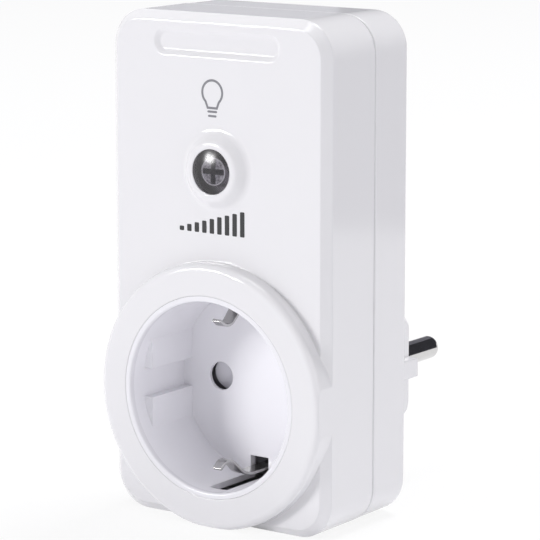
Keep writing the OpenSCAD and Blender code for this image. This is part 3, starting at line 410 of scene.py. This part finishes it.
def smokedClear(name, setup):
    material, tree = newMaterial(name)
    place = addNode(tree, "ShaderNodeTexCoord").outputs["Object"]
    ripple = addNode(tree, "ShaderNodeTexNoise", {"Vector": place, "Scale": 1 / (setup["rippleSize"] * mm),
                                                  "Detail": softDetail})
    gloss = addNode(tree, "ShaderNodeMapRange", {"Value": ripple.outputs["Fac"],
                                                 "To Min": setup["rough"] - setup["roughDrift"],
                                                 "To Max": setup["rough"] + setup["roughDrift"]})
    shader = addNode(tree, "ShaderNodeBsdfPrincipled", {
        "Base Color": plainWhite, "IOR": setup["ior"], "Roughness": gloss.outputs["Result"],
        "Transmission Weight": 1})
    # coat on the core's end: specks, a painted shade cross where the stem joins it and a painted highlight
    # ring at its rim
    speck = addNode(tree, "ShaderNodeTexNoise", {"Vector": place, "Scale": 1 / (setup["speckSize"] * mm),
                                                 "Detail": fineDetail})
    thin, full = setup["speckRange"]
    cover = addNode(tree, "ShaderNodeMapRange", {"Value": speck.outputs["Fac"], "From Min": thin,
                                                 "From Max": full})
    coat = addNode(tree, "ShaderNodeMix", {"Factor": cover.outputs["Result"],
                                           mixA: linear(setup["thinCoat"]),
                                           mixB: linear(setup["coat"])}, data_type="RGBA")
    away = addNode(tree, "ShaderNodeVectorMath", {0: place, 1: Vector(setup["middle"]) * mm},
                   operation="SUBTRACT")
    parts = addNode(tree, "ShaderNodeSeparateXYZ", {"Vector": away.outputs[0]})
    besideX = addNode(tree, "ShaderNodeMath", {0: parts.outputs["X"]}, operation="ABSOLUTE")
    besideZ = addNode(tree, "ShaderNodeMath", {0: parts.outputs["Z"]}, operation="ABSOLUTE")
    nearest = addNode(tree, "ShaderNodeMath", {0: besideX.outputs[0], 1: besideZ.outputs[0]},
                      operation="MINIMUM")
    onShadedCross = addNode(tree, "ShaderNodeMath", {0: nearest.outputs[0], 1: setup["crossHalf"] * mm},
                      operation="LESS_THAN")
    crossed = addNode(tree, "ShaderNodeMix", {"Factor": onShadedCross.outputs[0], mixA: coat.outputs[mixOut],
                                              mixB: linear(setup["cross"])}, data_type="RGBA")
    radius = addNode(tree, "ShaderNodeVectorMath", {0: away.outputs[0]}, operation="LENGTH")
    # painted highlight: pale from this radius out to the cavity wall
    onHighlightRim = addNode(tree, "ShaderNodeMath", {0: radius.outputs["Value"], 1: setup["highlightRimFrom"] * mm},
                    operation="GREATER_THAN")
    highlightRimmed = addNode(tree, "ShaderNodeMix", {"Factor": onHighlightRim.outputs[0], mixA: crossed.outputs[mixOut],
                                             mixB: linear(setup["rim"])}, data_type="RGBA")
    paint = addNode(tree, "ShaderNodeBsdfDiffuse", {"Color": highlightRimmed.outputs[mixOut]})
    onEnd = addNode(tree, "ShaderNodeMath", {0: parts.outputs["Y"], 1: 0, 2: setup["reach"] * mm},
                    operation="COMPARE")
    solid = addNode(tree, "ShaderNodeMixShader", {"Fac": onEnd.outputs[0], 1: shader.outputs[0],
                                                  2: paint.outputs[0]})
    # lamps shine through the clear plastic, which the volume still darkens
    through = addNode(tree, "ShaderNodeBsdfTransparent", {"Color": plainWhite})
    path = addNode(tree, "ShaderNodeLightPath")
    mixed = addNode(tree, "ShaderNodeMixShader", {"Fac": path.outputs["Is Shadow Ray"], 1: solid.outputs[0],
                                                  2: through.outputs[0]})
    smoke = addNode(tree, "ShaderNodeVolumeAbsorption", {"Color": linear(setup["tint"]),
                                                         "Density": setup["density"]})
    addNode(tree, "ShaderNodeOutputMaterial", {"Surface": mixed.outputs[0], "Volume": smoke.outputs[0]})
    return material


finish["smoke-tinted polycarbonate"] = smokedClear("smoke-tinted polycarbonate", smokeSetup)

# lacquered glass-fibre laminate: green mask, the weave's faint relief and paler copper tracks under it
boardSetup = {
    "mask": "1f6b3a",
    "track": "2f8a4c",
    "trackStep": 2.5,
    "trackShare": 0.3,
    "weave": 0.5,
    "relief": 0.1,
    "reliefDepth": 0.05,
    "rough": 0.35,
    "ior": 1.55,
}
waveUnit = 0.314  # metres, the length of one wave where a Wave node's scale is 1


def lacqueredLaminate(name, setup):
    material, tree = newMaterial(name)
    place = addNode(tree, "ShaderNodeTexCoord").outputs["Object"]
    waves = []
    for step, axis in (("weave", "X"), ("weave", "Z"), ("trackStep", "Z")):
        wave = addNode(tree, "ShaderNodeTexWave", {"Vector": place, "Scale": waveUnit / (setup[step] * mm)},
                       bands_direction=axis)
        waves.append(wave.outputs["Fac"])
    weave = addNode(tree, "ShaderNodeMath", {0: waves[0], 1: waves[1]}, operation="ADD")
    onTrack = addNode(tree, "ShaderNodeMath", {0: waves[2], 1: setup["trackShare"]}, operation="LESS_THAN")
    shade = addNode(tree, "ShaderNodeMix", {"Factor": onTrack.outputs[0], mixA: linear(setup["mask"]),
                                            mixB: linear(setup["track"])}, data_type="RGBA")
    bump = addNode(tree, "ShaderNodeBump", {"Height": weave.outputs[0], "Strength": setup["relief"],
                                            "Distance": setup["reliefDepth"] * mm})
    shader = addNode(tree, "ShaderNodeBsdfPrincipled", {
        "Base Color": shade.outputs[mixOut], "IOR": setup["ior"], "Roughness": setup["rough"],
        "Normal": bump.outputs[0]})
    addNode(tree, "ShaderNodeOutputMaterial", {"Surface": shader.outputs[0]})
    return material


finish["green-lacquered laminate"] = lacqueredLaminate("green-lacquered laminate", boardSetup)

# pieces along X with metal ends: a clear glass fuse, and resistors in a tan lacquer with colour bands
fuseSetup = {"half": 10, "cap": 5, "glass": "eef6f4", "capColour": "cfd0d2", "rough": 0.1}
resistorSetup = {
    "centre": -1,
    "half": 3.25,
    "coat": "d8b98c",
    "lead": "c8c9cb",
    "rough": 0.3,
    "bands": ((0.12, 0.2, "7a4a22"), (0.3, 0.38, "1c1c1e"), (0.48, 0.56, "c0392b"), (0.78, 0.86, "c9a24a")),
}


def glassFuse(name, setup):
    material, tree = newMaterial(name)
    place = addNode(tree, "ShaderNodeTexCoord").outputs["Object"]
    parts = addNode(tree, "ShaderNodeSeparateXYZ", {"Vector": place})
    away = addNode(tree, "ShaderNodeMath", {0: parts.outputs["X"]}, operation="ABSOLUTE")
    onCap = addNode(tree, "ShaderNodeMath", {0: away.outputs[0], 1: (setup["half"] - setup["cap"]) * mm},
                    operation="GREATER_THAN")
    clear = addNode(tree, "ShaderNodeMath", {0: 1, 1: onCap.outputs[0]}, operation="SUBTRACT")
    shade = addNode(tree, "ShaderNodeMix", {"Factor": onCap.outputs[0], mixA: linear(setup["glass"]),
                                            mixB: linear(setup["capColour"])}, data_type="RGBA")
    shader = addNode(tree, "ShaderNodeBsdfPrincipled", {
        "Base Color": shade.outputs[mixOut], "Metallic": onCap.outputs[0],
        "Transmission Weight": clear.outputs[0], "Roughness": setup["rough"]})
    addNode(tree, "ShaderNodeOutputMaterial", {"Surface": shader.outputs[0]})
    return material


def bandedResistor(name, setup):
    material, tree = newMaterial(name)
    place = addNode(tree, "ShaderNodeTexCoord").outputs["Object"]
    parts = addNode(tree, "ShaderNodeSeparateXYZ", {"Vector": place})
    # 0 to 1 from end to end of the body, and beyond that on the leads
    along = addNode(tree, "ShaderNodeMapRange", {"Value": parts.outputs["X"],
                                                 "From Min": (setup["centre"] - setup["half"]) * mm,
                                                 "From Max": (setup["centre"] + setup["half"]) * mm},
                    clamp=False)
    ramp = addNode(tree, "ShaderNodeValToRGB", {"Fac": along.outputs["Result"]})
    ramp.color_ramp.interpolation = "CONSTANT"
    stops = ramp.color_ramp.elements
    stops.remove(stops[1])
    stops[0].color = linear(setup["coat"])
    for start, end, colour in setup["bands"]:
        stops.new(start).color = linear(colour)
        stops.new(end).color = linear(setup["coat"])
    halfway = 0.5
    middle = addNode(tree, "ShaderNodeMath", {0: along.outputs["Result"], 1: halfway}, operation="SUBTRACT")
    away = addNode(tree, "ShaderNodeMath", {0: middle.outputs[0]}, operation="ABSOLUTE")
    onLead = addNode(tree, "ShaderNodeMath", {0: away.outputs[0], 1: halfway}, operation="GREATER_THAN")
    shade = addNode(tree, "ShaderNodeMix", {"Factor": onLead.outputs[0], mixA: ramp.outputs["Color"],
                                            mixB: linear(setup["lead"])}, data_type="RGBA")
    shader = addNode(tree, "ShaderNodeBsdfPrincipled", {
        "Base Color": shade.outputs[mixOut], "Metallic": onLead.outputs[0], "Roughness": setup["rough"]})
    addNode(tree, "ShaderNodeOutputMaterial", {"Surface": shader.outputs[0]})
    return material


finish["glass fuse with nickel caps"] = glassFuse("glass fuse with nickel caps", fuseSetup)
finish["lacquered film resistor"] = bandedResistor("lacquered film resistor", resistorSetup)

# round pieces standing along Y, with a pattern that goes round them
turnSetup = {
    "enamelled copper wire": {  # warm lacquered turns, each painted lighter on one flank as a sheen and darker on the other as shade
        "node": "choke_winding", "light": "b86a35", "dark": "8d4a20", "count": 44, "share": 0.5,
        "metal": 1, "rough": 0.25, "relief": 0.6, "reliefDepth": 0.3},
    "shrunk PVC sleeve": {  # a tight dark blue skin with one pale stripe
        "node": "electrolytic_capacitor", "light": "c9ccd8", "dark": "1d2547", "count": 1, "share": 0.93,
        "metal": 0, "rough": 0.3, "relief": 0.0, "reliefDepth": 0.3},
}


def roundAboutY(name, setup):
    material, tree = newMaterial(name)
    low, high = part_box(setup["node"])
    centre = (low + high) / 2
    place = addNode(tree, "ShaderNodeTexCoord").outputs["Object"]
    moved = addNode(tree, "ShaderNodeVectorMath", {0: place, 1: centre}, operation="SUBTRACT")
    stood = addNode(tree, "ShaderNodeMapping", {"Vector": moved.outputs[0],
                                                "Rotation": (-math.pi / 2, 0, 0)})
    turn = addNode(tree, "ShaderNodeTexGradient", {"Vector": stood.outputs[0]}, gradient_type="RADIAL")
    count = addNode(tree, "ShaderNodeMath", {0: turn.outputs["Fac"], 1: setup["count"]},
                    operation="MULTIPLY")
    saw = addNode(tree, "ShaderNodeMath", {0: count.outputs[0]}, operation="FRACT")
    halfTurn = 0.5
    wave = addNode(tree, "ShaderNodeMath", {0: saw.outputs[0], 1: halfTurn}, operation="PINGPONG")
    # on the copper, the flank of each turn painted light as a sheen; on the sleeve, its pale stripe
    stripeAndSheen = addNode(tree, "ShaderNodeMath", {0: saw.outputs[0], 1: setup["share"]},
                     operation="GREATER_THAN")
    shade = addNode(tree, "ShaderNodeMix", {"Factor": stripeAndSheen.outputs[0], mixA: linear(setup["dark"]),
                                            mixB: linear(setup["light"])}, data_type="RGBA")
    bump = addNode(tree, "ShaderNodeBump", {"Height": wave.outputs[0], "Strength": setup["relief"],
                                            "Distance": setup["reliefDepth"] * mm})
    shader = addNode(tree, "ShaderNodeBsdfPrincipled", {
        "Base Color": shade.outputs[mixOut], "Metallic": setup["metal"], "Roughness": setup["rough"],
        "Normal": bump.outputs[0]})
    addNode(tree, "ShaderNodeOutputMaterial", {"Surface": shader.outputs[0]})
    return material


finish.update({name: roundAboutY(name, setup) for name, setup in turnSetup.items()})

# pad-printed ink: a thin matt film, a little uneven in cover
inkSetup = {
    "black pad-printing ink": {"dark": "17171a", "light": "202024", "coverSize": 0.6, "rough": (0.35, 0.5)},
    "grey pad-printing ink": {"dark": "77777c", "light": "808086", "coverSize": 0.6, "rough": (0.35, 0.5)},
}


def printedInk(name, setup):
    material, tree = newMaterial(name)
    place = addNode(tree, "ShaderNodeTexCoord").outputs["Object"]
    cover = addNode(tree, "ShaderNodeTexNoise", {"Vector": place, "Scale": 1 / (setup["coverSize"] * mm),
                                                 "Detail": fineDetail})
    shade = addNode(tree, "ShaderNodeMix", {"Factor": cover.outputs["Fac"], mixA: linear(setup["dark"]),
                                            mixB: linear(setup["light"])}, data_type="RGBA")
    sleek, dull = setup["rough"]
    gloss = addNode(tree, "ShaderNodeMapRange", {"Value": cover.outputs["Fac"], "To Min": sleek,
                                                 "To Max": dull})
    shader = addNode(tree, "ShaderNodeBsdfPrincipled", {"Base Color": shade.outputs[mixOut],
                                                        "Roughness": gloss.outputs["Result"]})
    addNode(tree, "ShaderNodeOutputMaterial", {"Surface": shader.outputs[0]})
    return material


finish.update({name: printedInk(name, setup) for name, setup in inkSetup.items()})
print(len(finish), "materials made")

nodeFinish = {
    "high-gloss white ABS": ["front_shell", "rear_shell"],
    "shade-lifted white PBT": ["socket_cup"],
    "light grey acetal": ["shutter"],
    "glass-filled nylon": ["contact_carrier"],
    "natural acetal": ["button_guide"],
    "black PBT": ["switch_body", "switch_plunger"],
    "black moulding epoxy": ["triac", "control_chip"],
    "sintered ferrite": ["choke_core"],
    "diffused lamp epoxy": ["indicator_light"],
    "yellow capacitor PBT": ["film_capacitor"],
    "blue dipped epoxy": ["varistor"],
    "shrunk PVC sleeve": ["electrolytic_capacitor"],
    "green-lacquered laminate": ["circuit_board"],
    "glass fuse with nickel caps": ["fuse"],
    "lacquered film resistor": ["resistors"],
    "enamelled copper wire": ["choke_winding"],
    "turned nickel-plated brass": ["line_pin", "neutral_pin"],
    "nickel-plated spring strip": ["earth_bow", "plug_earth_strips", "fuse_clips"],
    "rolled brass strip": ["line_contact", "neutral_contact", "line_strip", "neutral_strip"],
    "zinc-plated steel": ["case_screws", "carrier_screws", "board_screws", "triac_screw", "triac_nut"],
    "drawn spring steel": ["shutter_spring"],
    "mill-finish aluminium": ["heat_sink"],
    "smoke-tinted polycarbonate": ["button_cap"],
}
for finishName, members in nodeFinish.items():
    for member in members:
        nodes[member].data.materials.clear()
        nodes[member].data.materials.append(finish[finishName])
print(sum(len(members) for members in nodeFinish.values()), "nodes dressed")

# earth bow: one bent strip, its two arms curving in to a knee and out again at the tips
bowSetup = {
    # Y and Z of the upper half, in mm
    "path": ((-22.8, 0), (-22.8, 17.6), (-36.5, 17.6), (-41.71, 12.94), (-44.4, 14.95)),
    "bends": (1.2, 2.2, 2.0),  # how far each bend reaches along the strip
    "steps": 10,
    "width": 3.7,
    "tipWidth": 2,
    "taperFrom": -32.1,
    "strip": 0.6,
    "edge": 0.12,
    "edgeSteps": 2,
    "crease": 50,  # degrees
    "mirrorGap": 0.01,  # points this near the middle are joined to their mirror image
}


def addEarthBow(setup):
    shape = bmesh.new()
    corners = [shape.verts.new((-setup["width"] / 2, y, z)) for y, z in setup["path"]]
    for first, second in zip(corners, corners[1:]):
        shape.edges.new((first, second))
    for corner, reach in zip(corners[1:-1], setup["bends"]):
        bmesh.ops.bevel(shape, geom=[corner], offset=reach, affect="VERTICES", segments=setup["steps"],
                        profile=0.5, material=-1)
    grown = bmesh.ops.extrude_edge_only(shape, edges=shape.edges[:])
    bmesh.ops.translate(shape, verts=grownVerts(grown), vec=(setup["width"], 0, 0))
    tipY = min(v.co.y for v in shape.verts)
    for v in shape.verts:  # the arms narrow towards their tips
        share = min(max((setup["taperFrom"] - v.co.y) / (setup["taperFrom"] - tipY), 0), 1)
        v.co.x *= 1 - share * (1 - setup["tipWidth"] / setup["width"])
    bmesh.ops.mirror(shape, geom=wholeShape(shape), merge_dist=setup["mirrorGap"], axis="Z")
    bmesh.ops.remove_doubles(shape, verts=shape.verts, dist=samePlace)
    bow = millimetrePiece("smoothEarthBow", shape, finish["nickel-plated spring strip"])
    sheet = bow.modifiers.new("stripThickness", "SOLIDIFY")
    sheet.thickness = setup["strip"] * mm
    sheet.offset = 0
    sheet.use_even_offset = True
    soften = bow.modifiers.new("softEdges", "BEVEL")
    soften.width = setup["edge"] * mm
    soften.segments = setup["edgeSteps"]
    soften.limit_method = "ANGLE"
    soften.angle_limit = math.radians(setup["crease"])
    soften.harden_normals = True
    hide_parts("earth_bow")
    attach(bow, "housing")


addEarthBow(bowSetup)
print("earth bow bent")

# cup rim: squares up the cup's rounded lip, so that a flat ring lies level with the collar
rimSetup = {
    "radii": (18.98, 20.11),  # mm
    "front": -47.6,
    "depth": 1.15,
    "edge": 0.45,
    "edgeSteps": 6,
    "turnSteps": 160,
    "crease": 40,  # degrees
}


def addCupRim(setup):
    shape = bmesh.new()
    inner, outer = setup["radii"]
    front = setup["front"]
    back = front + setup["depth"]
    outline = ((inner, front), (inner, back), (outer, back), (outer, front))
    corners = [shape.verts.new((x, y, 0)) for x, y in outline]
    for first, second in zip(corners, corners[1:] + corners[:1]):
        shape.edges.new((first, second))
    bmesh.ops.bevel(shape, geom=[corners[0]], offset=setup["edge"], affect="VERTICES",
                    segments=setup["edgeSteps"], profile=0.5, material=-1)
    turnAboutY(shape, setup["turnSteps"])
    rim = millimetrePiece("cupRim", shape, finish["polished white PBT"])
    rim.data.set_sharp_from_angle(angle=math.radians(setup["crease"]))
    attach(rim, "housing")


addCupRim(rimSetup)
print("cup rim turned")

# button cap: a dome turned in one piece with its flange and hollow core, and the crossed ribs of its stem
capSetup = {
    "axisZ": 44.3,  # mm
    "apex": -46.88,
    "domeRadius": 12.4,
    "domeAngle": 20.44,  # degrees from the apex to the rim
    "domeSteps": 16,
    # radius and Y, from the rim over the flange to the core's end
    "outline": ((4.33, -42.15), (5.33, -42.15), (5.33, -41.35), (2.5, -41.35), (2.5, -44.4), (0, -44.4)),
    "turnSteps": 96,
    "ribs": ((2.45, 0.5), (0.5, 2.45)),  # half sizes along X and Z
    "ribFrom": -44.3,
    "ribTo": -38.25,
    "crease": 35,  # degrees
}


def addButtonCap(setup):
    shape = bmesh.new()
    last = shape.verts.new((0, setup["apex"], 0))
    arc = bmesh.ops.spin(shape, geom=[last], cent=(0, setup["apex"] + setup["domeRadius"], 0),
                         axis=(0, 0, 1), angle=math.radians(setup["domeAngle"]), steps=setup["domeSteps"])
    last = arc["geom_last"][0]
    for radius, y in setup["outline"]:
        corner = shape.verts.new((radius, y, 0))
        shape.edges.new((last, corner))
        last = corner
    turnAboutY(shape, setup["turnSteps"])
    bmesh.ops.remove_doubles(shape, verts=shape.verts, dist=samePlace)
    for halfX, halfZ in setup["ribs"]:
        size = Matrix.Diagonal((2 * halfX, setup["ribTo"] - setup["ribFrom"], 2 * halfZ, 1))
        centre = Matrix.Translation((0, (setup["ribFrom"] + setup["ribTo"]) / 2, 0))
        bmesh.ops.create_cube(shape, size=1, matrix=centre @ size)
    bmesh.ops.translate(shape, verts=shape.verts, vec=(0, 0, setup["axisZ"]))
    cap = millimetrePiece("smoothButtonCap", shape, finish["smoke-tinted polycarbonate"])
    cap.data.set_sharp_from_angle(angle=math.radians(setup["crease"]))
    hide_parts("button_cap")
    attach(cap, "button")


addButtonCap(capSetup)
print("button cap turned")

# printed signs on the front face: a plain lamp above the button, a row of rising bars below it
signSetup = {
    "frontFace": -44.2,  # mm
    "film": 0.03,
    "cornerSteps": 4,
    "lampSign": {
        "centre": (-1.0, 59.4), "bulb": 2.6, "bulbSteps": 64, "cutAt": -1.9, "neck": 1.3, "neckHalf": 1.25,
        "line": 0.45, "bars": ((-3.9, 1.15), (-4.75, 1.0)),  # foot and half width
        "barHeight": 0.42, "barRound": 0.189},
    "levelSign": {
        "left": -9.0, "foot": 31.9, "count": 9, "step": 1.82, "width": 1.05, "low": 0.9, "high": 4.9,
        "round": 0.2},
}


# gives flat faces in the XZ plane the film's thickness, from just inside the shell to just proud of it
def printOnFront(name, shape, material):
    film = signSetup["film"]
    bmesh.ops.recalc_face_normals(shape, faces=shape.faces)
    grown = bmesh.ops.extrude_face_region(shape, geom=shape.faces[:])
    bmesh.ops.translate(shape, verts=grownVerts(grown), vec=(0, -2 * film, 0))
    bmesh.ops.translate(shape, verts=shape.verts, vec=(0, signSetup["frontFace"] + film, 0))
    sign = millimetrePiece(name, shape, material, smooth=False)
    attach(sign, "housing")


# a rectangle in the XZ plane with rounded corners
def addBar(shape, left, foot, width, height, rounding):
    corners = [(left, foot), (left + width, foot), (left + width, foot + height), (left, foot + height)]
    verts = [shape.verts.new((x, 0, z)) for x, z in corners]
    shape.faces.new(verts)
    bmesh.ops.bevel(shape, geom=verts, offset=rounding, affect="VERTICES",
                    segments=signSetup["cornerSteps"], profile=0.5, material=-1)


def addLampSign(setup):
    shape = bmesh.new()
    cutAt = setup["cutAt"]
    bmesh.ops.create_circle(shape, cap_ends=True, segments=setup["bulbSteps"], radius=setup["bulb"],
                            matrix=Matrix.Rotation(math.pi / 2, 4, "X"))
    bmesh.ops.bisect_plane(shape, geom=wholeShape(shape), plane_co=(0, 0, cutAt), plane_no=(0, 0, -1),
                           clear_outer=True)
    cut = [e for e in shape.edges if all(abs(v.co.z - cutAt) < samePlace for v in e.verts)]
    neck = grownVerts(bmesh.ops.extrude_edge_only(shape, edges=cut))
    widest = max(abs(v.co.x) for v in neck)
    bmesh.ops.scale(shape, verts=neck, vec=(setup["neckHalf"] / widest, 1, 1))
    bmesh.ops.translate(shape, verts=neck, vec=(0, 0, -setup["neck"]))
    bmesh.ops.dissolve_edges(shape, edges=cut)
    ring = bmesh.ops.inset_region(shape, faces=shape.faces[:], thickness=setup["line"], use_boundary=True,
                                  use_even_offset=True)["faces"]
    bmesh.ops.delete(shape, geom=[f for f in shape.faces if f not in ring], context="FACES")
    for foot, half in setup["bars"]:
        addBar(shape, -half, foot, 2 * half, setup["barHeight"], setup["barRound"])
    x, z = setup["centre"]
    bmesh.ops.translate(shape, verts=shape.verts, vec=(x, 0, z))
    printOnFront("lampSign", shape, finish["grey pad-printing ink"])


def addLevelSign(setup):
    shape = bmesh.new()
    rise = (setup["high"] - setup["low"]) / (setup["count"] - 1)
    for i in range(setup["count"]):
        left = setup["left"] + i * setup["step"]
        addBar(shape, left, setup["foot"], setup["width"], setup["low"] + i * rise, setup["round"])
    printOnFront("levelSign", shape, finish["black pad-printing ink"])


addLampSign(signSetup["lampSign"])
addLevelSign(signSetup["levelSign"])
print("signs printed")

bpy.context.view_layer.update()
